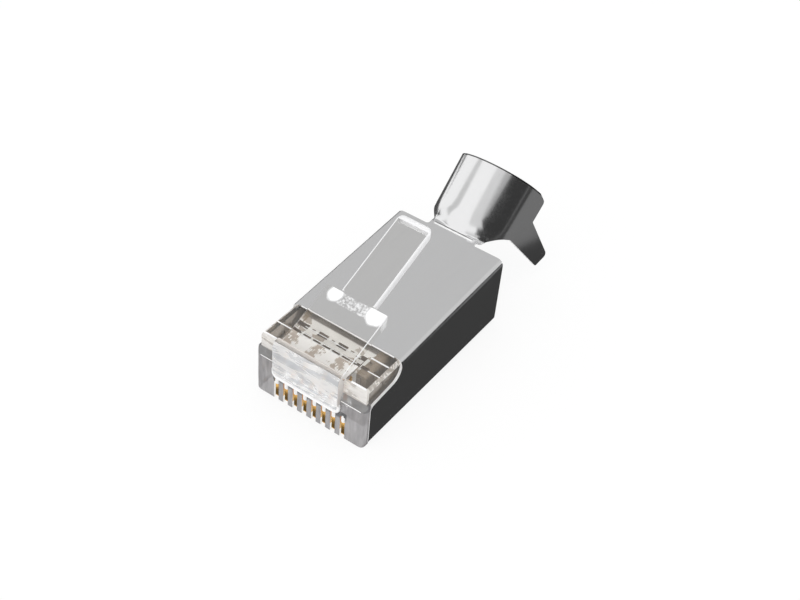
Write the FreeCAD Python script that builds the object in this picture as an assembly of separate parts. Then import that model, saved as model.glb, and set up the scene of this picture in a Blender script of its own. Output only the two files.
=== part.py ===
import FreeCAD, Part
import math
import os

# Shielded eight-contact network plug for a thick cable, as supplied, before a cable is fitted.
# A clear moulded housing holds eight contact blades and a wire guide. One folded and plated
# sheet wraps the housing and runs on at the back into an open collar, bent up so that the
# cable can be laid in, whose two wings are closed round the cable later.
# Millimetres. While the parts are made, x runs across the plug, y runs from the front face
# towards the cable and z runs up from the contact side. The finished parts are then moved so
# that the origin is below the middle of the whole plug.

# Overall size of the sheet metal body
plug_width = 11.7
shell_length = 20.7
front_height = 6.55
rear_height = 7.4
sheet = 0.25
top_edge_radius = 1.0
bottom_edge_radius = 0.5
least_radius = 0.1

# Front outline of the sheet, seen from the side
side_start = 0.7
side_height = 4.5
throat_height = 4.9
top_start = 5.1
side_corner_radius = 0.5
throat_radius = 1.3

# Underside of the sheet
bottom_start = 8.6
seam_gap = 0.08
dovetail_middle = 14.6
dovetail_length = 2.4
dovetail_depth = 1.3
dovetail_flare = 0.35

# Collar for the cable
neck_width = 5.0
neck_length = 0.65
collar_angle = 42.5
collar_radius = 4.2
crown_rise = 0.43
blend_length = 0.4
collar_length = 6.7
side_setback = 1.4

# Wings of the collar, measured down from the fold and along the collar
finger_reach = 7.2
wing_front = 0.7
finger_start = 0.5
finger_width = 1.6
finger_slant = 1.65
finger_tip_drop = 0.85
finger_tip_inset = 0.1
wing_reach = 2.45
wing_slant = 0.4
wing_corner_drop = 1.3
wing_corner_radius = 0.4
wing_round = 0.8
notch_rise = 0.15
fold_margin = 0.3

# Clear housing
fit_gap = 0.02
wall = 0.75
nose_drop = 0.05
lower_nose_height = 4.2
nose_setback = 0.4
nose_chamfer = 0.7
nose_edge_radius = 0.4
housing_setback = 0.5

# Root of the latch on the nose
key_width = 6.4
key_front = 0.4
key_low = 3.4
key_rise = 0.5
key_corner_radius = 0.9
key_brow_radius = 0.7
key_edge_radius = 0.15

# Latch
hinge_y = 0.5
knuckle_radius = 0.34
hinge_clearance = 0.05
shoulder_y = 6.3
shoulder_rise = 2.3
shoulder_height = 1.15
shoulder_radius = 0.3
lever_width = 3.5
lever_length = 8.3
lever_rise = 3.55
lever_thickness = 0.8
lever_corner_radius = 0.55
lever_edge_radius = 0.25
lever_overlap = 1.0
root_relief = 0.25
relief_length = 2.0
relief_slope_length = 1.2

# Contacts
contact_count = 8
contact_pitch = 1.02
blade_thickness = 0.35
blade_front = 0.12
blade_length = 3.78
blade_low = 0.06
blade_shoulder = 1.8
blade_nose_radius = 0.3
blade_corner_radius = 0.2
tooth_count = 3
tooth_depth = 0.5
tooth_sink = 0.15
tooth_setback = 0.34
slot_gap = 0.05
slot_length = 5.9
slot_height = 2.45
slot_end_radius = 0.6

# Wire guide
guide_margin = 0.3
guide_front = 1.95
guide_length = 6.6
guide_low = 2.8
guide_height = 3.1
guide_gap = 0.04
guide_corner_radius = 0.3
wire_hole = 1.1
first_row = 0.65
row_step = 1.2
mouth_depth = 0.4
mouth_flare = 0.2

# Windows in the top of the wire guide, over the piercing teeth
window_depth = 0.5
window_y = 2.85
window_width = 0.78
window_length = 0.4
high_window_y = 3.75
high_window_width = 1.0
high_window_length = 0.5
low_window_width = 0.36
low_window_length = 0.22

# Hollows beside the wire guide, with one rib across each
side_wall = 0.4
hollow_start = 0.75
hollow_low = 2.0
hollow_inner = 3.9
rib_y = 2.85
rib_thickness = 0.2

# Cavity for the cable
throat_length = 2.85
cavity_corner_radius = 0.3

shoulder_end = blend_length + side_setback
blend_half = neck_width / 2 + (collar_radius - neck_width / 2) * blend_length / shoulder_end
guide_width = contact_count * contact_pitch + 2 * guide_margin
nose_top = front_height - nose_drop
key_top = nose_top + key_rise + nose_drop
hinge_z = key_top - knuckle_radius
shoulder_top = key_top + shoulder_rise
shoulder_low = shoulder_top - shoulder_height
lever_end_y = shoulder_y + lever_length
lever_end_top = shoulder_top + lever_rise
half_width = plug_width / 2
rear_y = shell_length
fold_to_axis = math.hypot(collar_radius, finger_reach)
tip_angle = math.asin((half_width - finger_tip_inset) / fold_to_axis)
fold_angle = math.degrees(tip_angle - math.atan2(collar_radius, finger_reach))
far = 3 * (shell_length + collar_length)


def vec(x, y, z):
    return FreeCAD.Vector(x, y, z)


def box(x0, x1, y0, y1, z0, z1):
    return Part.makeBox(x1 - x0, y1 - y0, z1 - z0, vec(x0, y0, z0))


def unit(v):
    return FreeCAD.Vector(v).normalize()


def rounded_wire(corners):
    """Closed wire through corners (point, radius), with an arc at each corner that has one."""
    count = len(corners)
    ends = []
    for i in range(count):
        point, radius = corners[i]
        before = unit(corners[i - 1][0] - point)
        after = unit(corners[(i + 1) % count][0] - point)
        if radius <= 0:
            ends.append((point, None, point))
            continue
        half = before.getAngle(after) / 2
        reach = radius / math.tan(half)
        centre = point + unit(before + after) * (radius / math.sin(half))
        middle = centre + unit(point - centre) * radius
        ends.append((point + before * reach, middle, point + after * reach))
    edges = []
    for i in range(count):
        start, middle, stop = ends[i]
        if middle is not None:
            edges.append(Part.Arc(start, middle, stop).toShape())
        following = ends[(i + 1) % count][0]
        if stop.distanceToPoint(following) > 1e-6:
            edges.append(Part.makeLine(stop, following))
    return Part.Wire(edges)


def side_prism(corners, x0, x1):
    """Solid between x0 and x1 with a side view given as corners (y, z, radius)."""
    wire = rounded_wire([(vec(x0, y, z), r) for y, z, r in corners])
    return Part.Face(wire).extrude(vec(x1 - x0, 0, 0))


def plan_prism(corners, z0, z1):
    """Solid between z0 and z1 with a plan given as corners (x, y, radius)."""
    wire = rounded_wire([(vec(x, y, z0), r) for x, y, r in corners])
    return Part.Face(wire).extrude(vec(0, 0, z1 - z0))


def front_wire(y, half, low, high, low_radius, high_radius):
    """Rounded rectangle across the plug at y."""
    return rounded_wire([
        (vec(-half, y, low), low_radius),
        (vec(half, y, low), low_radius),
        (vec(half, y, high), high_radius),
        (vec(-half, y, high), high_radius),
    ])


def top_height(y):
    """Height of the outer face of the top sheet, which rises towards the cable."""
    rise = (rear_height - front_height) / (rear_y - top_start)
    return front_height + rise * (y - top_start)


def body_core(inset, y0, y1):
    """Solid bounded by the sheet's outer faces, brought in by inset, from y0 to y1."""
    low_radius = max(bottom_edge_radius - inset, least_radius)
    high_radius = max(top_edge_radius - inset, least_radius)
    ends = []
    for y in (y0, y1):
        ends.append(front_wire(y, half_width - inset, inset, top_height(y) - inset, low_radius, high_radius))
    return Part.makeLoft(ends, True, True)


def seam_cut():
    """Gap where the two edges of the folded sheet meet below, locked by one dovetail."""
    half_gap = seam_gap / 2
    y0 = dovetail_middle - dovetail_length / 2
    y1 = dovetail_middle + dovetail_length / 2

    def tail(grow, root):
        return plan_prism([
            (root, y0 - grow, 0),
            (dovetail_depth + grow, y0 - dovetail_flare - grow, 0),
            (dovetail_depth + grow, y1 + dovetail_flare + grow, 0),
            (root, y1 + grow, 0),
        ], -sheet, 2 * sheet)

    strip = box(-half_gap, half_gap, 0, far, -sheet, 2 * sheet)
    return strip.fuse(tail(seam_gap, half_gap)).cut(tail(0, -half_gap))


def shell():
    """Folded sheet round the housing, with its front outline, open underside and seam."""
    solid = body_core(0, 0, rear_y).cut(body_core(sheet, -sheet, rear_y + sheet))
    sky = rear_height + top_edge_radius
    front_waste = side_prism([
        (-sheet, -sheet, 0),
        (side_start, -sheet, 0),
        (side_start, side_height, side_corner_radius),
        (top_start - throat_radius / 4, throat_height, throat_radius),
        (top_start, front_height, 0),
        (top_start, sky, 0),
        (-sheet, sky, 0),
    ], -half_width - sheet, half_width + sheet)
    inner = half_width - sheet
    belly_waste = box(-inner, inner, -sheet, bottom_start, -sheet, bottom_edge_radius)
    return solid.cut(front_waste).cut(belly_waste).cut(seam_cut())


def collar_frame():
    """Placement of the collar: y along its axis, z away from the cable, origin on the bend."""
    bend_y = rear_y + neck_length
    base = vec(0, bend_y, top_height(bend_y))
    return FreeCAD.Placement(base, FreeCAD.Rotation(vec(1, 0, 0), collar_angle))


def neck():
    """Flat strip behind the top sheet, and its bend about a line on the outer face."""
    bend_y = rear_y + neck_length
    start = rear_y - sheet
    slope = math.atan2(rear_height - front_height, rear_y - top_start)
    down = vec(0, math.sin(slope), -math.cos(slope)) * sheet
    bend = vec(0, bend_y, top_height(bend_y))
    under = bend + down
    strip = side_prism([
        (start, top_height(start) - sheet, 0),
        (under.y, under.z, 0),
        (bend.y, bend.z, 0),
        (start, top_height(start), 0),
    ], -neck_width / 2, neck_width / 2)
    across = vec(neck_width / 2, 0, 0)
    end = Part.Face(Part.makePolygon([bend - across, bend + across, under + across, under - across, bend - across]))
    turned = end.revolve(bend, vec(1, 0, 0), collar_angle - math.degrees(slope))
    return strip.fuse(turned)


def arc_point(radius, angle, y):
    """Point at an angle from level on an arc about the collar's axis, in the collar's frame."""
    a = math.radians(angle)
    return vec(radius * math.cos(a), y, crown_rise - collar_radius + radius * math.sin(a))


def arch_edge(radius, angle, y):
    """Arc over the crown from one angle to the same angle on the other side."""
    return Part.Arc(arc_point(radius, angle, y), arc_point(radius, 90, y), arc_point(radius, 180 - angle, y)).toShape()


def blend():
    """Short stretch that turns the flat neck into the arch of the collar."""
    half = neck_width / 2
    inner_radius = collar_radius - sheet
    edge_angle = math.degrees(math.acos(blend_half / collar_radius))
    right_out = arc_point(collar_radius, edge_angle, blend_length)
    left_out = arc_point(collar_radius, 180 - edge_angle, blend_length)
    right_in = arc_point(inner_radius, edge_angle, blend_length)
    left_in = arc_point(inner_radius, 180 - edge_angle, blend_length)
    arch = Part.Wire([
        arch_edge(collar_radius, edge_angle, blend_length),
        Part.makeLine(left_out, left_in),
        arch_edge(inner_radius, edge_angle, blend_length),
        Part.makeLine(right_in, right_out),
    ])
    flat = Part.makePolygon([
        vec(half, 0, 0),
        vec(-half, 0, 0),
        vec(-half, 0, -sheet),
        vec(half, 0, -sheet),
        vec(half, 0, 0),
    ])
    return Part.makeLoft([flat, arch], True, True)


def barrel():
    """Arch of the collar with a flat leg on each side, before the legs are cut to shape."""
    inner_radius = collar_radius - sheet
    y = blend_length
    reach = finger_reach + sheet
    edges = [arch_edge(collar_radius, fold_angle, y), arch_edge(inner_radius, fold_angle, y)]
    a = math.radians(fold_angle)
    for side in (1, -1):
        angle = 90 - side * (90 - fold_angle)
        leg = vec(side * math.sin(a), 0, -math.cos(a)) * reach
        outer = arc_point(collar_radius, angle, y)
        inner = arc_point(inner_radius, angle, y)
        edges.append(Part.makeLine(outer, outer + leg))
        edges.append(Part.makeLine(outer + leg, inner + leg))
        edges.append(Part.makeLine(inner + leg, inner))
    wire = Part.Wire(Part.__sortEdges__(edges))
    return Part.Face(wire).extrude(vec(0, collar_length, 0))


def leg_waste(side, corners):
    """Prism through one leg, with corners (y, distance down from the fold, radius)."""
    outline = side_prism([(y, -down, r) for y, down, r in corners], -2 * sheet, 2 * sheet)
    fold = arc_point(collar_radius - sheet / 2, 90 - side * (90 - fold_angle), 0)
    outline.Placement = FreeCAD.Placement(fold, FreeCAD.Rotation(vec(0, 1, 0), -side * fold_angle))
    return outline


def wing_cuts():
    """Waste stamped away from the legs: one finger on each side, set to pass each other."""
    front = wing_front
    rear = blend_length + collar_length
    before = -sheet
    behind = rear + sheet
    deep = finger_reach + 2 * sheet
    tip = finger_reach - finger_tip_drop
    corner = wing_reach - wing_corner_drop
    r = wing_corner_radius
    finger_edge = finger_start + finger_width
    notch = finger_edge + finger_slant
    right_waste = leg_waste(1, [
        (before, -fold_margin, 0),
        (shoulder_end, -fold_margin, 0),
        (shoulder_end, fold_margin, 0),
        (front + finger_start, tip, r),
        (front + finger_edge, finger_reach, r),
        (front + notch, wing_reach - notch_rise, least_radius),
        (rear - wing_slant, wing_reach, r),
        (rear, corner, wing_round),
        (rear, -fold_margin, 0),
        (behind, -fold_margin, 0),
        (behind, deep, 0),
        (before, deep, 0),
    ])
    left_waste = leg_waste(-1, [
        (before, -fold_margin, 0),
        (shoulder_end, -fold_margin, 0),
        (shoulder_end, corner, wing_round),
        (shoulder_end + wing_slant, wing_reach, r),
        (rear - notch, wing_reach - notch_rise, least_radius),
        (rear - finger_edge, finger_reach, r),
        (rear - finger_start, tip, r),
        (rear, fold_margin, 0),
        (rear, -fold_margin, 0),
        (behind, -fold_margin, 0),
        (behind, deep, 0),
        (before, deep, 0),
    ])
    beyond = collar_radius + sheet
    shoulders = []
    for side in (1, -1):
        shoulders.append(plan_prism([
            (side * blend_half, before, 0),
            (side * blend_half, blend_length, 0),
            (side * collar_radius, shoulder_end, 0),
            (side * beyond, shoulder_end, 0),
            (side * beyond, before, 0),
        ], -collar_radius, crown_rise))
    return [right_waste, left_waste] + shoulders


def make_shield():
    """The whole folded sheet: shell, neck and collar in one piece."""
    collar = barrel()
    for waste in wing_cuts():
        collar = collar.cut(waste)
    collar = collar.fuse(blend())
    collar.Placement = collar_frame()
    return shell().fuse(neck()).fuse(collar).removeSplitter()


def contact_x(index):
    return (index - (contact_count - 1) / 2) * contact_pitch


def wire_height(index):
    """The wires lie in two rows, and neighbours are in different rows."""
    return guide_low + first_row + row_step * ((index + 1) % 2)


def nose():
    """Front of the housing: outside the sheet on top and below, inside it at the sides."""
    half = half_width - sheet - fit_gap
    step_y = top_start - fit_gap
    rear = bottom_start - fit_gap
    solid = side_prism([
        (0, 0, 0),
        (0, lower_nose_height, 0),
        (nose_setback, lower_nose_height + nose_chamfer, 0),
        (nose_setback, nose_top, nose_edge_radius),
        (step_y, nose_top, 0),
        (step_y, lower_nose_height, 0),
        (rear, lower_nose_height, 0),
        (rear, 0, 0),
    ], -half, half)
    plan = plan_prism([
        (-half, 0, nose_edge_radius),
        (half, 0, nose_edge_radius),
        (half, rear, 0),
        (-half, rear, 0),
    ], 0, nose_top)
    front = Part.Face(front_wire(0, half, 0, nose_top, bottom_edge_radius - sheet, nose_edge_radius))
    return solid.common(plan).common(front.extrude(vec(0, rear, 0)))


def key():
    """Block on the front of the nose from which the latch springs."""
    half = key_width / 2
    side = side_prism([
        (-key_front, key_low + key_front, 0),
        (-key_front, key_top, key_brow_radius),
        (hinge_y, key_top, 0),
        (hinge_y, key_low, 0),
        (0, key_low, 0),
    ], -half, half)
    front = Part.Face(front_wire(-key_front, half, key_low, key_top, key_corner_radius, key_edge_radius))
    return side.common(front.extrude(vec(0, key_front + hinge_y, 0)))


def cavity():
    """Room behind the wire guide for the cable, open at the back, and the guide's pocket."""
    half = half_width - sheet - fit_gap - wall
    low = sheet + fit_gap + wall
    pocket_half = guide_width / 2 + guide_gap
    floor = guide_low - guide_gap
    roof = guide_low + guide_height + guide_gap
    guide_rear = guide_front + guide_length
    room_start = guide_rear + throat_length
    r = cavity_corner_radius

    def room_wire(y):
        return front_wire(y, half, low, top_height(y) - low, r, r)

    pocket = box(-pocket_half, pocket_half, guide_front - guide_gap, guide_rear + guide_gap, floor, roof)
    mouth = front_wire(guide_rear, pocket_half, floor, roof, least_radius, least_radius)
    throat = Part.makeLoft([mouth, room_wire(room_start)], True, True)
    room = Part.makeLoft([room_wire(room_start), room_wire(rear_y)], True, True)
    return pocket.fuse(throat).fuse(room)


def side_hollows():
    """Two hollows on each side of the wire guide, parted by a rib and open to the pocket."""
    outer = half_width - sheet - fit_gap - side_wall
    roof = guide_low + guide_height + guide_gap
    rib_end = rib_y + rib_thickness
    solids = []
    for side in (1, -1):
        for inner, y0, y1 in ((hollow_inner, hollow_start, rib_y), (guide_width / 2, rib_end, guide_front + guide_length)):
            x0, x1 = sorted((side * inner, side * outer))
            solids.append(box(x0, x1, y0, y1, hollow_low, roof))
    return solids


def contact_slots():
    """One slot for each blade, open below and in front, and through to the wire guide."""
    half = (blade_thickness + slot_gap) / 2
    before = -key_front - sheet
    solids = []
    for i in range(contact_count):
        x = contact_x(i)
        below = side_prism([
            (before, -sheet, 0),
            (before, slot_height, 0),
            (slot_length, slot_height, slot_end_radius),
            (slot_length, -sheet, 0),
        ], x - half, x + half)
        rear = blade_front + blade_length + slot_gap
        above = box(x - half, x + half, guide_front - guide_gap, rear, 0, guide_low)
        solids.append(below.fuse(above))
    return solids


def make_housing():
    """Clear moulding, with its nose, latch root, contact slots and cable cavity."""
    inset = sheet + fit_gap
    solid = body_core(inset, top_start / 2, rear_y - housing_setback)
    solid = solid.fuse(nose()).fuse(key())
    half = key_width / 2 + hinge_clearance
    relief_end = hinge_y + relief_length + relief_slope_length
    relief = side_prism([
        (hinge_y, hinge_z, 0),
        (hinge_y, nose_top - root_relief, least_radius),
        (hinge_y + relief_length, nose_top - root_relief, 0),
        (relief_end, nose_top, 0),
        (relief_end, key_top + sheet, 0),
        (hinge_y, key_top + sheet, 0),
    ], -half, half)
    groove = Part.makeCylinder(knuckle_radius + hinge_clearance, 2 * half, vec(-half, hinge_y, hinge_z), vec(1, 0, 0))
    solid = solid.cut(relief).cut(groove).cut(cavity())
    for waste in contact_slots() + side_hollows():
        solid = solid.cut(waste)
    return solid.removeSplitter()


def make_latch():
    """Latch: a wide root that ends in two shoulders, and the narrower lever behind them."""
    half = key_width / 2
    slope = math.atan2(lever_rise, lever_length)
    drop = lever_thickness / math.cos(slope)
    knuckle = Part.makeCylinder(knuckle_radius, 2 * half, vec(-half, hinge_y, hinge_z), vec(1, 0, 0))
    root = side_prism([
        (hinge_y, hinge_z - knuckle_radius, 0),
        (shoulder_y, shoulder_low, least_radius),
        (shoulder_y, shoulder_top, shoulder_radius),
        (hinge_y, hinge_z + knuckle_radius, 0),
    ], -half, half)
    start = shoulder_y - lever_overlap
    top_at_start = shoulder_top - lever_overlap * math.tan(slope)
    lever = side_prism([
        (start, top_at_start - drop, 0),
        (lever_end_y, lever_end_top - drop, lever_edge_radius),
        (lever_end_y, lever_end_top, lever_edge_radius),
        (start, top_at_start, 0),
    ], -lever_width / 2, lever_width / 2)
    plan = plan_prism([
        (-lever_width / 2, start, 0),
        (lever_width / 2, start, 0),
        (lever_width / 2, lever_end_y, lever_corner_radius),
        (-lever_width / 2, lever_end_y, lever_corner_radius),
    ], 0, lever_end_top)
    return root.fuse(knuckle).fuse(lever.common(plan)).removeSplitter()


def make_contact(index):
    """Blade with a rounded mating corner below and a row of piercing teeth above."""
    x = contact_x(index)
    rear = blade_front + blade_length
    tip = wire_height(index) - wire_hole / 2 + tooth_sink
    tooth_start = guide_front + tooth_setback
    pitch = (rear - tooth_start) / tooth_count
    corners = [
        (blade_front, blade_low, blade_nose_radius),
        (blade_front, blade_shoulder, blade_corner_radius),
        (tooth_start, blade_shoulder, least_radius),
        (tooth_start, tip - tooth_depth, 0),
    ]
    for k in range(tooth_count):
        corners.append((tooth_start + (k + 0.5) * pitch, tip, 0))
        corners.append((tooth_start + (k + 1) * pitch, tip - tooth_depth, 0))
    corners.append((rear, blade_low, blade_corner_radius))
    return side_prism(corners, x - blade_thickness / 2, x + blade_thickness / 2)


def guide_windows():
    """A row of windows over the teeth, and behind it wide ones over the high wires only."""
    high = guide_low + guide_height

    def window(x, y, width, length):
        return box(x - width / 2, x + width / 2, y - length / 2, y + length / 2, high - window_depth, high)

    solids = []
    for i in range(contact_count):
        x = contact_x(i)
        solids.append(window(x, window_y, window_width, window_length))
        if i % 2:
            solids.append(window(x, high_window_y, low_window_width, low_window_length))
        else:
            solids.append(window(x, high_window_y, high_window_width, high_window_length))
    return solids


def make_wire_guide():
    """Block with a hole for each wire in two rows, slit below so that the teeth reach them."""
    half = guide_width / 2
    high = guide_low + guide_height
    rear = guide_front + guide_length
    solid = box(-half, half, guide_front, rear, guide_low, high)
    edges = [e for e in solid.Edges if abs(e.tangentAt(e.FirstParameter).y) > 0.99]
    solid = solid.makeFillet(guide_corner_radius, edges)
    slit = (blade_thickness + slot_gap) / 2
    for i in range(contact_count):
        x = contact_x(i)
        z = wire_height(i)
        hole = Part.makeCylinder(wire_hole / 2, guide_length, vec(x, guide_front, z), vec(0, 1, 0))
        mouth_start = vec(x, rear - mouth_depth, z)
        mouth = Part.makeCone(wire_hole / 2, wire_hole / 2 + mouth_flare, mouth_depth, mouth_start, vec(0, 1, 0))
        gap = box(x - slit, x + slit, guide_front, blade_front + blade_length + slot_gap, guide_low, z)
        solid = solid.cut(hole).cut(mouth).cut(gap)
    for window in guide_windows():
        solid = solid.cut(window)
    return solid


def make_parts():
    parts = {
        "shield": make_shield(),
        "housing": make_housing(),
        "latch": make_latch(),
        "wire_guide": make_wire_guide(),
    }
    for i in range(contact_count):
        parts["contact_%d" % (i + 1)] = make_contact(i)
    return parts


def main():
    os.makedirs("parts", exist_ok=True)
    parts = make_parts()
    whole = Part.makeCompound(list(parts.values())).optimalBoundingBox()
    shift = vec(-(whole.XMin + whole.XMax) / 2, -(whole.YMin + whole.YMax) / 2, -whole.ZMin)
    for name, shape in parts.items():
        shape.translate(shift)
        shape.exportStep("parts/%s.step" % name)
        print(name, "valid", shape.isValid(), "solids", len(shape.Solids), "volume", round(shape.Volume, 3))
    print("front face at y", round(shift.y, 4), "size", whole.XLength, whole.YLength, whole.ZLength)


main()
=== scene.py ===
from functools import partialmethod
from math import acos, asin, atan2, cos, hypot, pi, radians, sin

import bmesh
import bpy
import numpy as np
from bpy.props import FloatProperty, FloatVectorProperty, PointerProperty
from mathutils import Matrix, Vector
from mathutils.geometry import delaunay_2d_cdt


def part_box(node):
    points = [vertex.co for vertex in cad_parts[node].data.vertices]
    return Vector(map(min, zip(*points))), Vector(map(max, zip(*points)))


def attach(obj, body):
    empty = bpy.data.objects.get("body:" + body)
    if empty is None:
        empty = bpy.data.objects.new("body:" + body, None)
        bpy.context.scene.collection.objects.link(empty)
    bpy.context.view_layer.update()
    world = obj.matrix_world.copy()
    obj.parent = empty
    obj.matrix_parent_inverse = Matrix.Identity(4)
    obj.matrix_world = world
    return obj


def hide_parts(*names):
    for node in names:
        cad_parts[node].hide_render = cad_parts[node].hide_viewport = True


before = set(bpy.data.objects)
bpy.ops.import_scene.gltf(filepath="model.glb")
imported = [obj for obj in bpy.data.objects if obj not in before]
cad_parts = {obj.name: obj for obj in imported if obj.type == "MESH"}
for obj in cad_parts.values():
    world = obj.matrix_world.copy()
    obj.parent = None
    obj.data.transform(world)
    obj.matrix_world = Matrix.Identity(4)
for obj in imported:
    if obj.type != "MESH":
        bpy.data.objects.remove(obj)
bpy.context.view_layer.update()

bl_info = {
    "name": "Shielded Network Plug",
    "version": (1, 0, 0),
    "blender": (4, 5, 0),
    "location": "3D View > Sidebar > Plug",
    "description": "Dresses a shielded network plug with its folded shield, clear moulding and blades",
    "category": "Object",
}

# Lengths are in metres. MM turns a maker's millimetres into metres.
MM = 0.001
SHIELD_LOW, SHIELD_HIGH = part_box("shield")
HOUSING_LOW, HOUSING_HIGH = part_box("housing")
LATCH_LOW, LATCH_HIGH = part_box("latch")
HALF_WIDTH = (SHIELD_HIGH.x - SHIELD_LOW.x) / 2
KEY_DEPTH = 0.4 * MM
FACE_Y = HOUSING_LOW.y + KEY_DEPTH
CONTACTS = sorted(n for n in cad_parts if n.startswith("contact_"))

# Places in millimetres, y from the nose's face and z from the floor.
LEDGE_Z = 4.86
SHEET_FRONT = 0.7
RELIEF_Z = 6.3
HINGE_Y = 0.5
SLOT_PITCH = 1.02
# The block below the latch reaches this many times as far on the left as on the right.
LEFT_WIDER = 1.17

PLASTIC_IOR = 1.3
CLEAR_IOR = 1.12
WARM_SHADOW = (0.97, 0.96, 0.94)
WHITE = (1.0, 1.0, 1.0)


# Sizes and colours that a user would change

def length(name, text, value):
    """Length with a default in millimetres."""
    return FloatProperty(name=name, description=text, default=value * MM, unit="LENGTH", precision=5)


def colour(name, text, value):
    return FloatVectorProperty(
        name=name, description=text, default=value, subtype="COLOR", size=3, min=0, max=1)


class ShieldSizes(bpy.types.PropertyGroup):
    sheet: length("Sheet", "Thickness of the folded sheet", 0.25)
    body_length: length("Body length", "From the nose face to the rear edge of the sheet body", 20.7)
    front_height: length("Front height", "Height of the body at the front edge of its top", 6.55)
    rear_height: length("Rear height", "Height of the body at its rear edge", 7.4)
    top_radius: length("Top radius", "Outer radius of the long upper edges of the solid", 1.0)
    bottom_radius: length("Bottom radius", "Outer radius of the long lower edges", 0.5)
    collar_radius: length("Collar radius", "Outer radius of the open cable collar", 4.2)
    collar_length: length("Collar length", "Length of the collar along the cable", 6.7)
    blend_length: length("Blend length", "Length over which the flat neck turns into the arch", 0.4)
    shoulder_length: length("Shoulder length", "From the bend to the collar's full width", 1.8)
    collar_angle: FloatProperty(
        name="Collar angle", description="How far the collar is bent up from the body",
        default=radians(42.5), subtype="ANGLE")
    edge_round: length("Edge round", "Rounding of the stamped edges", 0.08)
    tint: colour("Plating", "Colour of the plating on the sheet", (0.86, 0.86, 0.865))


class MouldingSizes(bpy.types.PropertyGroup):
    edge_round: length("Edge round", "Rounding of the moulded edges", 0.07)
    tint: colour("Plastic", "Colour of the clear plastic", (0.97, 0.965, 0.955))
    # The darker patches of the nose are painted warm reflection and shade.
    painted_patch_tint: colour("Painted patches", "Darker colour of the moulding's flow marks", (0.56, 0.49, 0.43))
    # Painted shade in the hollows beside the wire guide.
    hollow_shade_tint: colour("Hollows", "Colour seen in the hollows beside the wire guide", (0.45, 0.38, 0.31))
    # Painted shade inside the guide's windows.
    window_shade_tint: colour("Guide windows", "Colour inside the guide's windows", (0.30, 0.23, 0.18))


class LatchSizes(bpy.types.PropertyGroup):
    root_radius: length("Root radius", "Radius of the half round root end", 0.34)
    shoulder_y: length("Shoulder place", "From the nose face to the rear of the shoulders", 6.3)
    shoulder_rise: length("Shoulder rise", "Height of the shoulders above the root", 2.3)
    shoulder_height: length("Shoulder height", "Thickness of the plate at the shoulders", 1.15)
    lever_width: length("Lever width", "Width of the lever behind the shoulders", 3.5)
    lever_thickness: length("Lever thickness", "Thickness of the lever", 0.8)
    end_radius: length("End radius", "Radius of the lever's corners in plan", 0.55)


class ContactSizes(bpy.types.PropertyGroup):
    tint: colour("Gold", "Colour of the plated blades", (0.93, 0.55, 0.16))


class StageSettings(bpy.types.PropertyGroup):
    floor_tint: colour("Floor", "Colour of the floor", (0.92, 0.92, 0.92))
    world_level: FloatProperty(name="World", description="Level of the light from all round", default=1)
    lamp_level: FloatProperty(name="Lamp", description="Level of the lamp above the camera", default=1)


# Meshes

def linked(name, data):
    """New object in the scene, for a mesh, a lamp or a camera."""
    obj = bpy.data.objects.new(name, data)
    bpy.context.scene.collection.objects.link(obj)
    return obj


def placed(name, mesh, body):
    """Object for a mesh, smooth but for edges over 35 degrees, that rides on a body."""
    obj = linked(name, mesh)
    mesh.polygons.foreach_set("use_smooth", np.ones(len(mesh.polygons), dtype=bool))
    mesh.set_sharp_from_angle(angle=radians(35))
    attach(obj, body)
    return obj


def new_mesh(name, corners, faces):
    """Mesh with the given corners, an array (n, 3), and faces."""
    mesh = bpy.data.meshes.new(name)
    mesh.from_pydata(corners.tolist(), [], faces)
    return mesh


def new_object(name, corners, faces, body):
    """Object that rides on a body, from corners and faces."""
    return placed(name, new_mesh(name, corners, faces), body)


def merged_copy(node, name, body):
    """Copy of a node's loose triangles, with shared corners joined and flat faces made whole."""
    work = bmesh.new()
    work.from_mesh(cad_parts[node].data)
    bmesh.ops.remove_doubles(work, verts=work.verts, dist=0.0005 * MM)
    bmesh.ops.dissolve_limit(work, angle_limit=radians(1), verts=work.verts, edges=work.edges)
    mesh = bpy.data.meshes.new(name)
    work.to_mesh(mesh)
    work.free()
    obj = placed(name, mesh, body)
    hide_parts(node)
    return obj


def round_edges(obj, width):
    """Rounds every edge over 40 degrees by a two-step bevel."""
    bevel = obj.modifiers.new("edge round", "BEVEL")
    bevel.width = width
    bevel.segments = 2
    bevel.limit_method = "ANGLE"
    bevel.angle_limit = radians(40)
    bevel.use_clamp_overlap = True
    bevel.harden_normals = True


def rounded_outline(corners, steps=5):
    """Points of a closed outline through corners (u, v, radius), with an arc at each rounded one.

    The arc's centre lies on the bisector of the corner at radius / sin(half angle), and its
    points are the centre plus the radius turned evenly from one tangent point to the other.
    """
    points = []
    for i, (u, v, radius) in enumerate(corners):
        here = np.array((u, v))
        if radius <= 0:
            points.append(here[None])
            continue
        before = np.array(corners[i - 1][:2]) - here
        after = np.array(corners[(i + 1) % len(corners)][:2]) - here
        before /= np.linalg.norm(before)
        after /= np.linalg.norm(after)
        half = acos(np.clip(before @ after, -1, 1)) / 2
        middle = before + after
        middle /= np.linalg.norm(middle)
        side = 1 if before[0] * after[1] - before[1] * after[0] > 0 else -1
        turn = side * np.linspace(pi / 2 - half, half - pi / 2, steps + 1)
        out = -middle * radius
        points.append(here + middle * radius / sin(half) + columns(
            out[0] * np.cos(turn) - out[1] * np.sin(turn), out[0] * np.sin(turn) + out[1] * np.cos(turn)))
    return np.concatenate(points)


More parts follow.
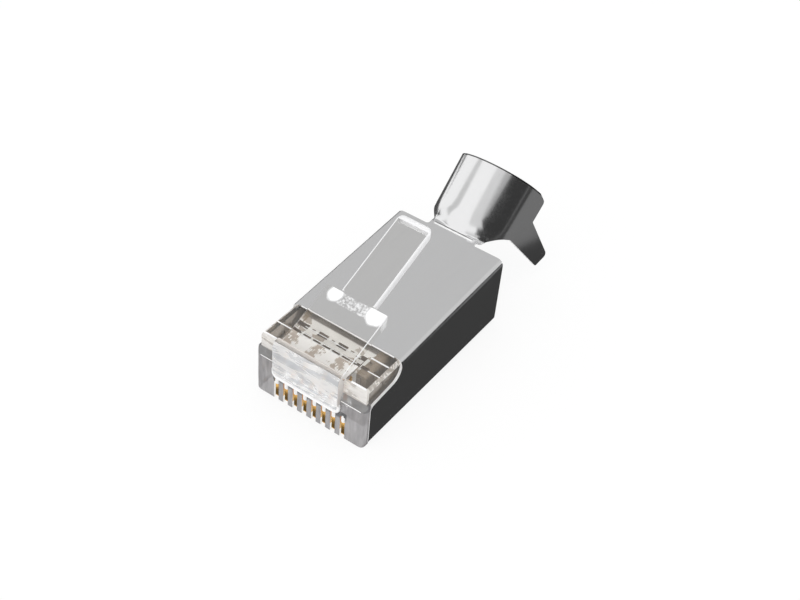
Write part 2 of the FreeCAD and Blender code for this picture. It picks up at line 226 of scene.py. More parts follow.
def divided(outline, step):
    """Closed outline with more points, so that no edge is much longer than step.

    The new points are read from the outline at even distances along it, next to its own.
    """
    closed = np.r_[outline, outline[:1]]
    gone = np.r_[[0], np.cumsum(np.linalg.norm(np.diff(closed, axis=0), axis=1))]
    even = np.arange(0, gone[-1], step)
    near = np.abs(even[:, None] - gone[None]).min(axis=1)
    at = np.sort(np.r_[gone[:-1], even[near > step / 4]])
    return columns(np.interp(at, gone, closed[:, 0]), np.interp(at, gone, closed[:, 1]))


def inside_grid(stations_u, stations_v, outline, margin=0.05):
    """Points of a grid of stations that lie inside an outline and at least margin from it.

    A point is inside if a line from it towards higher u crosses the outline an odd number of times.
    """
    u, v = np.meshgrid(stations_u, stations_v, indexing="ij")
    grid = columns(u.ravel(), v.ravel())
    ends = np.roll(outline, -1, axis=0)
    along = ends - outline
    squares = np.maximum((along ** 2).sum(axis=1), 1e-12)
    away = grid[:, None, :] - outline[None]
    part = np.clip((away * along).sum(axis=2) / squares, 0, 1)
    gap = np.linalg.norm(away - part[..., None] * along, axis=2).min(axis=1)
    crosses = (outline[:, 1] > grid[:, None, 1]) != (ends[:, 1] > grid[:, None, 1])
    rise = np.where(np.abs(along[:, 1]) < 1e-12, 1e-12, along[:, 1])
    at = outline[:, 0] + (grid[:, None, 1] - outline[:, 1]) * along[:, 0] / rise
    inside = (crosses & (grid[:, None, 0] < at)).sum(axis=1) % 2 == 1
    return grid[inside & (gap > margin)]


def trimmed_grids(outline, grids, crease):
    """Triangles that fill an outline, with corners on it, on the grids and along a crease.

    Returns the corners as an array (n, 2) and the faces as index triples.
    """
    count = len(outline)
    edges = [(i, (i + 1) % count) for i in range(count)]
    start = count + sum(len(g) for g in grids)
    edges += [(start + i, start + i + 1) for i in range(len(crease) - 1)]
    flat = np.concatenate([outline, *grids, crease])
    corners, _, faces, _, _, _ = delaunay_2d_cdt([Vector(p) for p in flat.tolist()], edges, [], 1, 1e-5)
    return np.array([tuple(c) for c in corners]), faces


def swept(sections):
    """Faces of a closed body from loops of corners, an array (stations, corners, 3)."""
    rows, count = sections.shape[:2]
    corner = np.arange(rows * count).reshape(rows, count)
    following = np.roll(corner, -1, axis=1)
    quads = np.stack((corner[:-1], corner[1:], following[1:], following[:-1]), axis=-1).reshape(-1, 4)
    return quads.tolist() + [corner[0].tolist(), corner[-1][::-1].tolist()]


def face_rows(mesh, what):
    """The "center" or "normal" of each face, as an array (faces, 3)."""
    rows = np.empty(len(mesh.polygons) * 3)
    mesh.polygons.foreach_get(what, rows)
    return rows.reshape(-1, 3)


def between(values, low, high):
    return (values > low) & (values < high)


def columns(*parts):
    """Array whose last axis holds the parts, where plain numbers are repeated."""
    return np.stack(np.broadcast_arrays(*parts), axis=-1)


# The folded shield

class Blank:
    """Flat blank of the shield: u is the way round the section from the middle of the top, and
    v is the way back from the nose face. Its numbers are in millimetres."""

    # Where the top and the underside of the body begin
    top_start, belly_start = 5.1, 8.6
    # Half width of the neck, and how far the crown of the collar rises above it
    neck, crown = 2.5, 0.43
    # The right wing's start behind the bend, each wing's length, and its end's distance inside the side
    wing_front, reach, wing_gap = 0.7, 7.2, 0.1

    def __init__(self, sizes):
        self.half = HALF_WIDTH / MM
        self.rear = sizes.body_length / MM
        self.front_height = sizes.front_height / MM
        self.rear_height = sizes.rear_height / MM
        self.top_r = sizes.top_radius / MM
        self.tight_r = 0.6 * self.top_r
        self.low_r = sizes.bottom_radius / MM
        self.arch_r = sizes.collar_radius / MM
        self.angle = sizes.collar_angle
        self.bend = self.rear + 0.65
        self.blend = sizes.blend_length / MM
        self.shoulder = sizes.shoulder_length / MM
        self.collar_rear = self.blend + sizes.collar_length / MM
        across = hypot(self.arch_r, self.reach)
        self.fold = asin((self.half - self.wing_gap) / across) - atan2(self.arch_r, self.reach)
        blend_half = self.neck + (self.arch_r - self.neck) * self.blend / self.shoulder
        self.edge_angle = acos(blend_half / self.arch_r)
        self.u_corner = self.half - self.top_r
        self.u_side = self.u_corner + self.top_r * pi / 2
        self.z_side = self.front_height - self.top_r
        self.u_low = self.u_side + self.z_side - self.low_r
        self.u_floor = self.u_low + self.low_r * pi / 2
        self.u_seam = self.u_floor + self.half - self.low_r
        self.u_fold = self.arch_r * (pi / 2 - self.fold)
        self.u_blend = self.arch_r * (pi / 2 - self.edge_angle)

    def height(self, v):
        slope = (self.rear_height - self.front_height) / (self.rear - self.top_start)
        return self.front_height + slope * (v - self.top_start)

    def u_at(self, z):
        """Way round the section at a height on the side of the front edge."""
        lift = np.clip((z - self.z_side) / self.top_r, 0, 1)
        above = self.u_side - self.top_r * np.arcsin(lift)
        return np.where(z > self.z_side, above, self.u_side + self.z_side - z)

    def front_edge(self):
        """Front outline of the right side, from low and forward to the top corner."""
        beyond = -9
        side = rounded_outline([
            (beyond, beyond, 0), (SHEET_FRONT, beyond, 0), (SHEET_FRONT, 4.5, 0.5),
            (self.top_start - 0.325, 4.9, 1.3), (self.top_start, self.front_height, 0),
            (beyond, self.front_height, 0),
        ], 8)[2:-1]
        side = side[side[:, 1] < self.front_height + 1e-9]
        return columns(self.u_at(side[:, 1]), side[:, 0])

    def outline(self):
        """Closed outline of the blank: right side from the seam forward, front, left, rear, collar.

        The seam on the floor has a dovetail, whose tongue on the left fits the right's socket.
        """
        seam, rear, belly = self.u_seam, self.rear, self.belly_start
        u_lip = self.u_low + self.low_r * pi / 3
        edge = self.front_edge()
        gap = 0.04
        right_flap = np.array([
            (seam - gap, rear), (seam - gap, 15.88), (seam - 1.38, 16.23), (seam - 1.38, 12.97),
            (seam - gap, 13.32), (seam - gap, belly), (u_lip, belly), (u_lip, SHEET_FRONT),
        ])
        left_flap = np.array([
            (-u_lip, SHEET_FRONT), (-u_lip, belly), (gap - seam, belly), (gap - seam, 13.4),
            (-seam - 1.3, 13.05), (-seam - 1.3, 16.15), (gap - seam, 15.8), (gap - seam, rear),
        ])
        left = (-1, 1)
        front = np.r_[edge, (edge * left)[::-1]]
        fold, bend = self.u_fold, self.bend
        wing, end, last = bend + self.wing_front, bend + self.shoulder, bend + self.collar_rear
        span = np.linspace(self.arch_r * cos(self.edge_angle), self.arch_r * cos(self.fold), 9)
        shoulder = columns(
            self.arch_r * (pi / 2 - np.arccos(np.clip(span / self.arch_r, -1, 1))),
            bend + self.shoulder * (span - self.neck) / (self.arch_r - self.neck))
        neck = rounded_outline([
            (self.neck, bend, 0), (self.neck, rear, 0.28), (self.neck + 3, rear, 0)])[:-1]
        wings = rounded_outline([
            (-fold, end, 0), (-fold - 1.15, end, 0.8), (-fold - 2.45, end + 0.4, 0.4),
            (-fold - 2.3, last - 3.75, 0.1), (-fold - 7.2, last - 2.1, 0.4),
            (-fold - 6.35, last - 0.5, 0.4), (-fold, last, 0),
            (fold, last, 0), (fold + 1.15, last, 0.8), (fold + 2.45, last - 0.4, 0.4),
            (fold + 2.3, wing + 3.75, 0.1), (fold + 7.2, wing + 2.1, 0.4), (fold + 6.35, wing + 0.5, 0.4),
            (fold + 0.3, end, 0),
        ])[1:]
        return np.r_[
            right_flap, front, left_flap, (neck * left)[::-1], shoulder * left, wings, shoulder[::-1],
            neck]

    def tight_fold(self, share):
        """Distances inside the side and below the top for a share of the way round the upper
        fold, which is an arc of the tight radius with a short flat before and after it."""
        flat = self.top_r - self.tight_r
        way = np.clip(share, 0, 1) * (2 * flat + self.tight_r * pi / 2)
        turn = np.clip((way - flat) / self.tight_r, 0, pi / 2)
        before = np.clip(flat - way, 0, None)
        after = np.clip(way - flat - self.tight_r * pi / 2, 0, None)
        return before + self.tight_r * (1 - np.sin(turn)), after + self.tight_r * (1 - np.cos(turn))

    def body_place(self, a, v):
        """Distance from the middle and height of the body's section.

        a runs along the top, round the upper fold, down the side, round the lower arc and along
        the floor. The side above 5 mm is stretched to reach the top, which rises to the rear.
        """
        height = self.height(v)
        in_fold, out_fold = self.tight_fold((a - self.u_corner) / (self.u_side - self.u_corner))
        low_turn = np.clip((a - self.u_low) / self.low_r, 0, pi / 2)
        wall = self.z_side - np.clip(a - self.u_side, 0, self.z_side - self.low_r)
        stretch = np.clip((wall - 5.0) / (self.z_side - 5.0), 0, 1)
        x = np.where(a < self.u_corner, a, self.half - in_fold)
        z = np.where(a < self.u_side, height - out_fold, wall + stretch * (height - self.front_height))
        x = np.where(a > self.u_low, self.half - self.low_r * (1 - np.cos(low_turn)), x)
        z = np.where(a > self.u_low, self.low_r * (1 - np.sin(low_turn)), z)
        x = np.where(a > self.u_floor, self.half - self.low_r - (a - self.u_floor), x)
        return x, z

    def collar_place(self, a, w):
        """Distance from the middle and height of the collar's section, w behind the bend.

        It goes from flat to the arch as 1 - (1 - t) squared while its crown rises as half of
        1 - cos, and it goes straight down from the fold on each side.
        """
        t = np.clip(w / self.blend, 0, 1)
        part = a / (self.neck + (self.u_blend - self.neck) * t)
        ease = 1 - (1 - t) ** 2
        round_arch = np.where(w < self.blend, part * self.u_blend, a)
        phi = pi / 2 - np.clip(round_arch, 0, self.u_fold) / self.arch_r
        swell = self.crown * (1 - np.cos(np.clip(w / self.shoulder, 0, 1) * pi)) / 2
        leg = np.clip(a - self.u_fold, 0, None)
        arch_x = self.arch_r * np.cos(phi) + leg * sin(self.fold)
        arch_z = swell - self.arch_r + self.arch_r * np.sin(phi) - leg * cos(self.fold)
        return ease * arch_x + (1 - ease) * part * self.neck, ease * arch_z

    def fold_up(self, flat):
        """Outer face of the sheet at points (u, v) of the blank, with the collar's strip turned
        up past the bend by the collar's angle."""
        u, v = flat[:, 0], flat[:, 1]
        side = np.where(u < 0, -1.0, 1.0)
        w = v - self.bend
        body_x, body_z = self.body_place(np.abs(u), v)
        across, lift = self.collar_place(np.abs(u), w)
        c, s = cos(self.angle), sin(self.angle)
        body = columns(side * body_x, v, body_z)
        collar = columns(
            side * across, self.bend + w * c - lift * s, self.height(self.bend) + w * s + lift * c)
        return np.where((w > 0)[:, None], collar, body) * MM + (0, FACE_Y, 0)

    def body_stations(self):
        """Stations across the body's blank, close together where the sheet is curved."""
        top = np.arange(0, self.u_corner, 0.55)
        arc = np.linspace(self.u_corner, self.u_side, 15)
        wall = np.arange(self.u_side, self.u_low, 0.7)
        low = np.linspace(self.u_low, self.u_floor, 6)
        floor = np.arange(self.u_floor + 0.5, self.u_seam + 1.5, 0.8)
        half = np.r_[top, arc, wall[1:], low, floor]
        return np.unique(np.round(np.r_[-half, half], 4))

    def collar_stations(self):
        """Stations across and along the collar's blank."""
        wing = self.u_fold + np.arange(0.7, self.reach, 0.8)
        across = np.r_[np.linspace(-self.u_fold, self.u_fold, 37), wing, -wing]
        arch = self.bend + self.blend
        along = np.r_[
            np.linspace(self.bend, arch, 5)[1:], np.arange(arch + 0.4, self.bend + self.collar_rear, 0.6)]
        return across, along


class PLUG_OT_shield(bpy.types.Operator):
    """Makes the folded and plated sheet as one piece, from its flat blank"""
    bl_idname = "network_plug.shield"
    bl_label = "Make shield"

    def execute(self, context):
        sizes = context.scene.plug_shield
        blank = Blank(sizes)
        outline = divided(blank.outline(), 0.3)
        inner = blank.neck - 1e-4
        crease_u = np.r_[[-inner], np.linspace(-blank.neck, blank.neck, 15)[1:-1], [inner]]
        crease = columns(crease_u, blank.bend)
        # The body and the collar have their own stations, so their grids are laid one after the other.
        body_v = np.r_[np.arange(0.2, blank.rear, 0.75), [blank.rear - 0.1]]
        grids = [
            inside_grid(blank.body_stations(), body_v, outline),
            inside_grid(*blank.collar_stations(), outline),
        ]
        flat, faces = trimmed_grids(outline, grids, crease)
        shield = new_object("shield_sheet", blank.fold_up(flat), faces, "plug")
        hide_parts("shield")
        wall = shield.modifiers.new("sheet", "SOLIDIFY")
        wall.thickness = sizes.sheet
        wall.offset = -1
        wall.use_even_offset = True
        wall.material_offset_rim = 1
        round_edges(shield, sizes.edge_round)
        shield.data.materials.append(plating_material(sizes.tint, blank))
        shield.data.materials.append(cut_edge_material())
        return {"FINISHED"}


# Materials

class Value:
    """Output of a node. A sign between two values, or a value and a number, adds a Math node."""

    def __init__(self, shade, socket):
        self.shade, self.socket = shade, socket

    def math(self, operation, *others):
        return self.shade.add("Math", dict(enumerate((self, *others))), operation=operation)["Value"]

    __add__ = partialmethod(math, "ADD")
    __sub__ = partialmethod(math, "SUBTRACT")
    __mul__ = partialmethod(math, "MULTIPLY")
    __gt__ = partialmethod(math, "GREATER_THAN")
    __lt__ = partialmethod(math, "LESS_THAN")
    __abs__ = partialmethod(math, "ABSOLUTE")

    def ramp(self, low, high, to_low=0, to_high=1):
        """From to_low to to_high as the value goes from low to high, and even outside."""
        return self.shade.add("MapRange", dict(enumerate((self, low, high, to_low, to_high))))["Result"]

    def spread(self, low, high):
        """From low to high as the value goes from 0 to 1."""
        return self.ramp(0, 1, low, high)

    def bump(self, distance):
        return self.shade.add("Bump", {"Height": self, "Distance": distance})["Normal"]


class Shading:
    """Adds nodes to a node tree. Its methods take values, numbers, vectors and colours."""

    def __init__(self, tree, material=None):
        self.tree, self.material = tree, material

    def fill(self, node, inputs):
        """Links or sets a node's inputs, given by label or by place."""
        for label, value in inputs.items():
            socket = node.inputs[label]
            if isinstance(value, Value):
                self.tree.links.new(value.socket, socket)
            else:
                socket.default_value = (*value, 1) if socket.type == "RGBA" else value

    def outputs(self, node):
        return {socket.name: Value(self, socket) for socket in node.outputs if socket.enabled}

    def add(self, kind, inputs, **settings):
        """Outputs by name of a new node, with its settings and inputs."""
        node = self.tree.nodes.new("ShaderNode" + kind)
        for label, value in settings.items():
            setattr(node, label, value)
        self.fill(node, inputs)
        return self.outputs(node)

    def coords(self):
        return self.add("TexCoord", {})["Object"]

    def stretched(self, scale):
        """Object coordinates times a scale for each axis."""
        return self.add("Mapping", {"Vector": self.coords(), "Scale": scale})["Vector"]

    def parts(self, vector):
        """The x, y and z of a vector."""
        return self.add("SeparateXYZ", {"Vector": vector}).values()

    def noise(self, vector, scale, detail=2, distortion=0, output="Fac"):
        inputs = {"Vector": vector, "Scale": scale, "Detail": detail, "Distortion": distortion}
        return self.add("TexNoise", inputs)[output]

    def blend(self, share, first, second, kind="RGBA"):
        """From the first colour or value to the second as share goes from 0 to 1."""
        return self.add("Mix", {"Factor": share, "A": first, "B": second}, data_type=kind)["Result"]

    def surface(self, share, first, second, output="Material Output"):
        """Ends the tree with a mix of two shaders."""
        self.own(output, {"Surface": self.mix_shaders(share, first, second)})

    def mix_shaders(self, share, first, second):
        return self.add("MixShader", {0: share, 1: first, 2: second})["Shader"]

    def own(self, name, inputs):
        """Outputs of a node that the tree has from the start, with the given inputs."""
        self.fill(self.tree.nodes[name], inputs)
        return self.outputs(self.tree.nodes[name])

    def principled(self, base, rough, more, normal=None):
        """Fills in the material's own shader, and gives back its output."""
        inputs = {"Base Color": base, "Roughness": rough, **more}
        if normal:
            inputs["Normal"] = normal
        return self.own("Principled BSDF", inputs)["BSDF"]

    def metal(self, base, rough, metallic, normal=None):
        self.principled(base, rough, {"Metallic": metallic}, normal)
        return self.material

    def plastic(self, base, rough, through, tint=WARM_SHADOW, ior=PLASTIC_IOR, normal=None):
        """Material that lets a share of the light through."""
        shader = self.principled(base, rough, {"Transmission Weight": through, "IOR": ior}, normal)
        return self.pass_light(shader, tint)

    def pass_light(self, shader, tint):
        """Material whose shadow rays pass, so that light reaches what is behind it."""
        shadow = self.add("LightPath", {})["Is Shadow Ray"]
        self.surface(shadow, shader, self.add("BsdfTransparent", {"Color": tint})["BSDF"])
        return self.material


def new_material(name):
    """Shading for a new material."""
    material = bpy.data.materials.new(name)
    material.use_nodes = True
    return Shading(material.node_tree, material)


def shared_group(name, outputs, **inputs):
    """Turns a function that adds nodes into one that places a shader group of them.

    The group has the given name, float outputs and float inputs with their usual values, and it
    is made at its first use. Both functions take a Shading and one value for each input. The
    first gives back a list with one value for each output, and the second the same from the group.
    """
    def decorate(draw):
        def place(shade, *values):
            group = bpy.data.node_groups.get(name)
            if group is None:
                group = bpy.data.node_groups.new(name, "ShaderNodeTree")
                new_socket = group.interface.new_socket
                for label, value in inputs.items():
                    new_socket(label, in_out="INPUT", socket_type="NodeSocketFloat").default_value = value
                for label in outputs:
                    new_socket(label, in_out="OUTPUT", socket_type="NodeSocketFloat")
                inner = Shading(group)
                given = inner.outputs(group.nodes.new("NodeGroupInput"))
                results = draw(inner, *(given[label] for label in inputs))
                inner.fill(group.nodes.new("NodeGroupOutput"), dict(zip(outputs, results)))
            return list(shade.add("Group", dict(zip(inputs, values)), node_tree=group).values())
        return place
    return decorate


@shared_group("Metal Grain", ("Height", "Mask"), Scale=9000.0, Streak=0.4)
def grain(shade, scale, share):
    """Fine even grain and faint rolling streaks: a height and a mask, each from 0 to 1."""
    streak = shade.noise(shade.stretched((3000, 160, 3000)), 1, 4)
    return [shade.blend(share, shade.noise(shade.coords(), scale, 3), streak, "FLOAT"), streak]


@shared_group("Handling Marks", ("Mask",), Scale=700.0, Amount=0.5)
def marks(shade, scale, amount):
    """Handling marks: soft smears, as a mask from 0 to 1."""
    return [shade.noise(shade.coords(), scale, 5, 0.6).ramp(0.45, 0.75) * amount]


@shared_group("Painted Patches", ("Mask",), Share=0.5)
def patches(shade, share):
    """Painted warm reflection and shade of a clear moulding: blocky patches with uneven borders, as a
    mask from 0 to 1.
    """
    place = shade.stretched((1700, 2600, 900))
    shifted = shade.blend(0.35, place, shade.noise(place, 2.5, 4, output="Color"), "VECTOR")
    cells = shade.add("TexVoronoi", {"Scale": 1, "Vector": shifted})["Color"]
    return [shade.add("SeparateColor", {"Color": cells})["Red"].ramp(share, share + 0.08)]


def plating_material(tint, blank):
    """Satin plating on rolled sheet, with a painted highlight line in front of the bend, a painted
    shade line in the crease, and painted shade along the collar's sheared rear edge."""
    shade = new_material("satin_plating")
    coords = shade.coords()
    x, y, z = shade.parts(coords)
    at_neck = (z > 6.9 * MM) * (abs(x) < 2.1 * MM)
    # A painted highlight line in front of the bend, and a painted shade line in the crease.
    painted_highlight, crease_shade = (
        y.math("COMPARE", FACE_Y + (blank.bend - before) * MM, reach * MM) * at_neck
        for before, reach in ((0.2, 0.11), (0.03, 0.06)))
    bend = (0, FACE_Y + blank.bend * MM, blank.height(blank.bend) * MM)
    behind = shade.add("VectorMath", {0: coords, 1: bend}, operation="SUBTRACT")["Vector"]
    collar = (0, cos(blank.angle), sin(blank.angle))
    along = shade.add("VectorMath", {0: behind, 1: collar}, operation="DOT_PRODUCT")["Value"]
    height, streaks = grain(shade, 9000, 0.35)
    base = shade.blend(streaks, [0.96 * c for c in tint], tint)
    # Blends in the painted highlight, the painted crease shade and the painted shade along the rear edge.
    for mask, grey in ((painted_highlight, 0.97), (crease_shade, 0.3), (along > (blank.collar_rear - 0.13) * MM, 0.12)):
        base = shade.blend(mask, base, (grey, grey, grey))
    rough = marks(shade, 420, 0.6)[0].spread(0.16, 0.24)
    return shade.metal(base, rough, painted_highlight.spread(1.0, 0.3), height.bump(0.0012 * MM))


def cut_edge_material():
    """Bright sheared edge of the sheet, a little rougher than its faces."""
    shade = new_material("sheared_edge")
    height, _ = grain(shade, 12000, 0)
    return shade.metal((0.95, 0.95, 0.955), height.spread(0.4, 0.55), 0.4)


def gold_material(tint):
    """Bright gold plating on the blades, slightly brushed."""
    shade = new_material("gold_plating")
    height, streaks = grain(shade, 14000, 0.6)
    base = shade.blend(streaks, [0.85 * c for c in tint], tint)
    return shade.metal(base, height.spread(0.16, 0.28), 1.0, height.bump(0.0008 * MM))


def frosted_material(name, tint, through, rough=0.4):
    """Moulded plastic with a fine spark eroded face, which scatters the light: white and soft."""
    shade = new_material(name)
    height, _ = grain(shade, 6000, 0)
    base = shade.blend(height, [0.9 * c for c in tint], tint)
    return shade.plastic(base, rough, through, tint, normal=height.bump(0.02 * MM))


def clear_material(name, tint, milk):
    """Clear moulded plastic, with a share of milk in it."""
    shade = new_material(name)
    rough = marks(shade, 600, 1)[0].spread(0.03, 0.12)
    return shade.plastic(tint, rough, 1 - milk, tint, CLEAR_IOR)


def hazy_material(name, dark, light, through):
    """Hazy clear plastic, with faint streaks across the plug from one tint to another."""
    shade = new_material(name)
    haze = shade.noise(shade.stretched((450, 1500, 1800)), 1, 4, 0.5).ramp(0.38, 0.6)
    base = shade.blend(haze, dark, light)
    return shade.plastic(base, haze.spread(0.12, 0.4), through, (0.97, 0.97, 0.98))


def column_material():
    """Front of the columns between the slots: even grey haze with faint upright streaks, and painted
    shade just above the slots and just below the root of the latch."""
    shade = new_material("column_face")
    x, _, z = shade.parts(shade.coords())
    streak = shade.noise(shade.stretched((2600, 2600, 500)), 1, 5).spread(-0.4, 1.4)
    grey = shade.blend(streak, (0.25, 0.243, 0.25), (0.4, 0.39, 0.395))
    # Painted shade just above the slots, and below the latch's root.
    slot_top_shade = z.ramp(2.1 * MM, 2.3 * MM) * (abs(x) < 3.95 * MM) * (z < 3 * MM)
    shaded = slot_top_shade.math("MAXIMUM", (z > 4.24 * MM) * 0.6)
    base = shade.blend(shaded, grey, (0.12, 0.12, 0.125))
    return shade.plastic(base, 0.12, 0.25, (0.97, 0.97, 0.97), CLEAR_IOR)


def relief_material(dark):
    """Frosted floor below the latch: darker patches of painted warm reflection and shade at even
    distances across it, with uneven borders, where a sine across the plug and a noise together are high."""
    shade = new_material("relief_floor")
    coords = shade.coords()
    x, _, _ = shade.parts(coords)
    wave = ((x + 3.925 * MM) * (2 * pi / (2.5 * MM))).math("SINE")
    streak = shade.noise(shade.stretched((9000, 900, 900)), 1, 3)
    uneven = (shade.noise(coords, 1900, 5) + streak * 0.6 - 0.8) * 6
    mask = (wave + uneven).ramp(0, 0.8)
    base = shade.blend(mask, (1.0, 0.99, 0.975), dark)
    return shade.plastic(base, mask.spread(0.5, 0.12), 0.2)


def guide_material(dark, shade_from):
    """White frosted moulding with darker patches of painted warm reflection and shade, painted shade
    past y = shade_from, toward the sheet's front edge, and painted shade of the hollows where it is
    more than 3.6 mm from x = -0.25 mm."""
    shade = new_material("guide_moulding")
    patch_mask = patches(shade, 0.15)[0]
    x, y, _ = shade.parts(shade.coords())
    # Darker patches: painted warm reflection and shade.
    base = shade.blend(patch_mask, dark, (1.0, 0.985, 0.96))
    # Painted shade toward the sheet's front edge.
    base = shade.blend(y.ramp(shade_from, shade_from + 0.12 * MM), base, (0.3, 0.27, 0.245))
    # Painted shade of the hollows beside the guide.
    base = shade.blend(abs(x + 0.25 * MM) > 3.6 * MM, base, (0.36, 0.29, 0.22))
    return shade.plastic(base, patch_mask.spread(0.12, 0.45), 0.05)


def latch_material(tint, shoulder_y):
    """Clear plastic with a frosted spot on each shoulder and a fine speckled strip between them.

    A spot is where the distance from its middle, 0.55 mm before the shoulder's rear, is below
    its radius, which is larger on the right and reaches on down the wall there. The strip is
    where a fine noise is high between the spots.
    """
    shade = new_material("clear_latch")
    clear = shade.principled(tint, 0.05, {"Transmission Weight": 1.0, "IOR": 1.05})
    frosted = shade.add("BsdfPrincipled", {"Base Color": (0.86, 0.865, 0.87), "Roughness": 0.6})["BSDF"]
    coords = shade.coords()
    x, y, _ = shade.parts(coords)
    away = abs(x - 0.2 * MM)
    spot_x, spot_y = away - 2.15 * MM, y - (shoulder_y - 0.55 * MM)
    far = (spot_x * spot_x + spot_y * spot_y).math("SQRT") + shade.noise(coords, 1400) * (0.3 * MM)
    spot = (far - (x > 0.2 * MM) * (0.22 * MM)).ramp(0.95 * MM, 0.75 * MM)
    between_spots = (away < 1.6 * MM) * y.math("COMPARE", shoulder_y - 0.7 * MM, 0.5 * MM)
    strip = between_spots * shade.noise(coords, 4200, 4).ramp(0.4, 0.62, 0, 0.7)
    geometry = shade.add("NewGeometry", {})
    across, _, up = shade.parts(geometry["Normal"])
    outside = (across.math("MAXIMUM", up) > 0.6) * (geometry["Backfacing"] < 0.5)
    frosting = spot.math("MAXIMUM", strip) * outside
    return shade.pass_light(shade.mix_shaders(frosting, clear, frosted), tint)


# Clear moulding, latch, wire guide and blades

def widen_nose(mesh):
    """Gives the nose below its ledge the full width of the plug, in front of the sheet, makes the
    block below the latch wider on the left and its front face end lower, and widens the slots.

    The mesh is cut at the step. Corners outside x = 5.1 mm go out by 0.26 mm times their share
    of the way from there to the old side. Those of the block's front face, below z = 4.6 mm, go
    down by 0.45 mm at most, and a slot's corners go a quarter further from its middle.
    """
    step_y = 0.68
    work = bmesh.new()
    work.from_mesh(mesh)
    for axis, place in ((1, step_y - 0.01), (1, step_y), (2, LEDGE_Z - 0.01), (2, LEDGE_Z)):
        point, normal = [0, 0, 0], [0, 0, 0]
        point[axis] = place * MM + (FACE_Y if axis == 1 else 0)
        normal[axis] = 1
        everything = work.verts[:] + work.edges[:] + work.faces[:]
        bmesh.ops.bisect_plane(work, geom=everything, plane_co=point, plane_no=normal)
    work.to_mesh(mesh)
    work.free()
    flat = np.empty(len(mesh.vertices) * 3)
    mesh.vertices.foreach_get("co", flat)
    corners = flat.reshape(-1, 3)
    x, y, z = corners.T / MM
    back = y - FACE_Y / MM
    # The sides in front of the sheet and below the ledge.
    lower = (back < step_y - 0.005) & (z < LEDGE_Z - 0.005)
    out = np.clip((np.abs(x) - 5.1) / 0.48, 0, 1) * 0.26
    x = np.where(lower, x + np.sign(x) * out, x)
    # The left half of the block below the latch.
    block = (z > 3.3) & (back < 4) & (np.abs(x) < 3.4) & ((back < 0.97) | (z > 6.1))
    x = np.where(block & (x < 0), x * LEFT_WIDER, x)
    # The slots. The middle of slot n, from 0 to 7, is at (n - 3.5) * SLOT_PITCH.
    slot = np.clip(np.round(x / SLOT_PITCH + 3.5), 0, 7)
    from_slot = x - (slot - 3.5) * SLOT_PITCH
    in_slot = (z < 2.7) & (back < 6.1) & (np.abs(from_slot) < 0.25)
    x = np.where(in_slot, x + from_slot / 4, x)
    # The block's front face.
    front = (back < 0.02) & (np.abs(x) < 3.9) & (z > 3.3)
    z = np.where(front, z - 0.45 * np.clip((4.6 - z) / 0.7, 0, 1), z)
    corners[:, 0] = x * MM
    corners[:, 2] = z * MM
    mesh.vertices.foreach_set("co", corners.ravel())
    mesh.update()


def housing_finishes(mesh, sizes):
    """Materials of the housing, each with the faces that it covers. A later one covers an earlier."""
    x, y, z = face_rows(mesh, "center").T / MM
    across, ahead, up = face_rows(mesh, "normal").T
    back, half = y - FACE_Y / MM, np.abs(x)
    inner = half < 3.9
    hinge_gap = np.hypot(back - HINGE_Y, z - (HOUSING_HIGH.z / MM - 0.34))
    column = column_material()
    return [
        (clear_material("clear_moulding", sizes.tint, 0.05), back > -1),
        (hazy_material("key_face", (0.66, 0.68, 0.71), (1.0, 0.995, 0.99), 0.4), back < -0.15),
        (frosted_material("key_rim", (0.98, 0.98, 1.0), 0.3), (back < 0) & (z < 3.6) & (up < -0.4)),
        # Painted highlight on the slot ceilings, where the tops of the slots catch the light.
        (frosted_material("slot_ceiling_highlight", (0.98, 0.96, 0.94), 0.3),
         inner & between(z, 2.2, 2.9) & (up < -0.6) & (back < 6)),
        (relief_material(sizes.painted_patch_tint),
         inner & (np.abs(z - RELIEF_Z) < 0.1) & (up > 0.95) & between(back, 0.5, 2.6)),
        (column, (ahead < -0.7) & (z < LEDGE_Z) & between(back, -0.01, 0.4)),
        (column, (half > 5.5) & (back < SHEET_FRONT) & (z < LEDGE_Z)),
        (hazy_material("side_face", (0.5, 0.45, 0.4), (0.92, 0.89, 0.85), 0.35),
         (half > 5.3) & (z > LEDGE_Z) & between(back, 0.3, 6)),
        (frosted_material("key_side", (0.74, 0.71, 0.69), 0.15, 0.3),
         (np.abs(across) > 0.7) & (half < 4.2) & (back < 1.2) & (z > 2.9)),
        # Painted shade on the rear wall under the sheet's front edge.
        (frosted_material("rear_face_shade", (0.4, 0.35, 0.31), 0.15, 0.3),
         (ahead > 0.7) & between(back, 4.9, 5.2) & (z > 4.3)),
        (clear_material("ledge_face", (0.33, 0.33, 0.33), 0.6),
         (ahead < -0.3) & (up > 0.3) & between(back, 0, 0.4) & between(z, 4.1, 5)),
        (frosted_material("groove_face", (0.85, 0.81, 0.77), 0.3, 0.25),
         (hinge_gap < 0.42) & (half < 3.85)),
        (hazy_material("upper_face", (0.6, 0.56, 0.52), (0.97, 0.95, 0.92), 0.35),
         (ahead < -0.5) & (z > 4.9) & between(back, 0.3, 0.75) & (half > 3.2)),
        # Painted shade in the hollows beside the wire guide.
        (frosted_material("hollow_shade_face", sizes.hollow_shade_tint, 0.35, 0.25),
         between(half, 3.85, 5.3) & between(z, 1.9, 5.9) & between(back, 0.7, 8.6) & (ahead < 0.7)),
    ]


class PLUG_OT_housing(bpy.types.Operator):
    """Makes the clear housing with its moulded edges rounded"""
    bl_idname = "network_plug.housing"
    bl_label = "Make housing"

    def execute(self, context):
        sizes = context.scene.plug_moulding
        housing = merged_copy("housing", "clear_housing", "plug")
        mesh = housing.data
        widen_nose(mesh)
        round_edges(housing, sizes.edge_round)
        index = np.zeros(len(mesh.polygons), dtype=int)
        for i, (material, where) in enumerate(housing_finishes(mesh, sizes)):
            mesh.materials.append(material)
            index[where] = i
        mesh.polygons.foreach_set("material_index", index)
        return {"FINISHED"}


